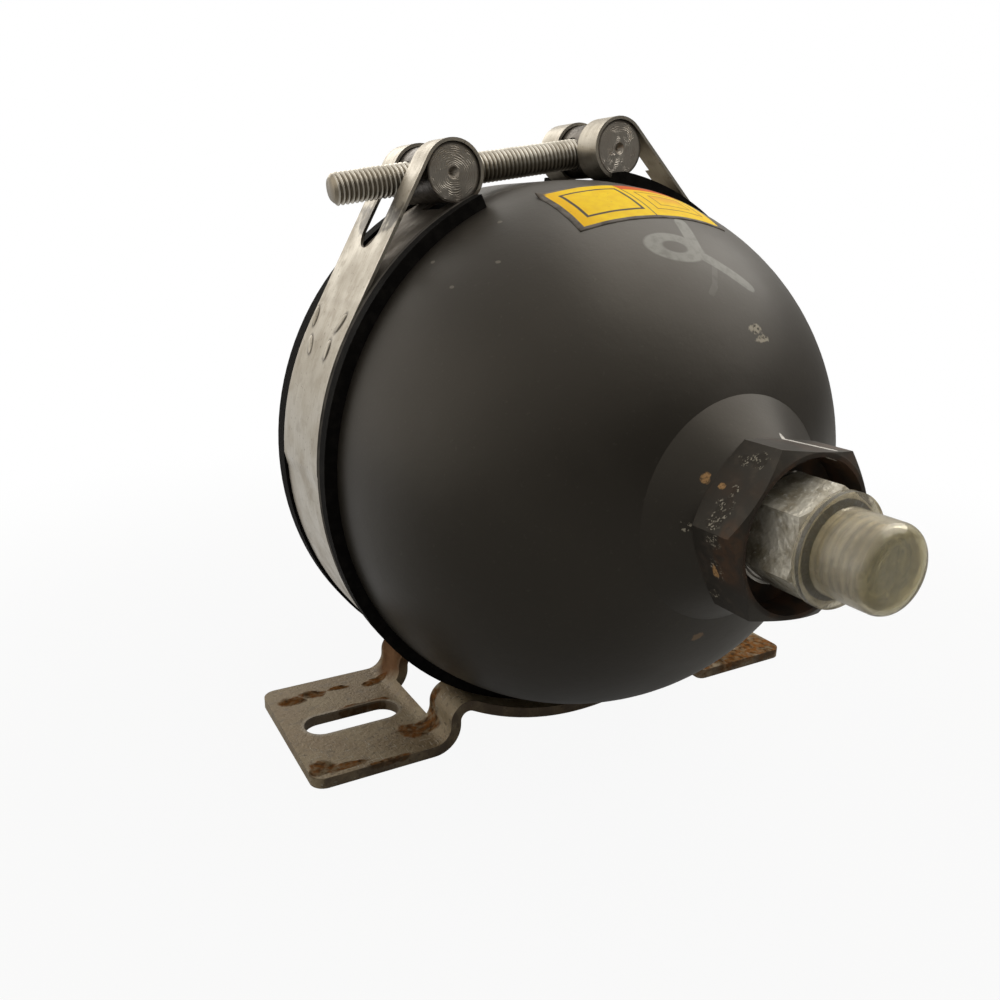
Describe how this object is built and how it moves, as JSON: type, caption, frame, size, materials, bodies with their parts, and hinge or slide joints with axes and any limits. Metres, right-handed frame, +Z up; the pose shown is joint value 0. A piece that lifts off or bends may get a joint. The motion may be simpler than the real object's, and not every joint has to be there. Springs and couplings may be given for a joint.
{
  "type": "hydraulic diaphragm accumulator with bracket clamp",
  "caption": "Round hydraulic accumulator with hexagon port neck and capped fitting, held by a strap clamp on a slotted foot bracket.",
  "frame": {"origin": "middle of the base bracket between its two slots, on the underside of the feet", "axes": "+Z up from the feet, -Y out of the port end along the vessel axis, +X to the right seen from the port end"},
  "size_m": [0.1666, 0.2161, 0.1694],
  "materials": {
    "vessel_paint": "satin dark grey-brown paint",
    "bright_steel": "bare steel",
    "black_rubber": "matte",
    "zinc_plate": "dull zinc plating",
    "clear_plastic": "clear, slightly yellow",
    "stainless": "dull stainless sheet",
    "bracket_steel": "weathered zinc plating with rust",
    "label_film": "printed film"
  },
  "bodies": {
    "root": {"front_shell": "vessel_paint", "rear_shell": "vessel_paint", "weld_seam": "vessel_paint", "clamp_ring": "bright_steel", "diaphragm": "black_rubber", "valve_button": "bright_steel", "port_fitting": "zinc_plate", "port_seal_ring": "bright_steel", "protective_cap": "clear_plastic", "gas_screw": "zinc_plate", "gas_seal_ring": "bright_steel", "rubber_liner": "black_rubber", "clamp_strap": "stainless", "left_trunnion": "stainless", "right_trunnion": "stainless", "clamp_bolt": "stainless", "base_bracket": "bracket_steel", "dome_label": "label_film"}
  },
  "joints": []
}
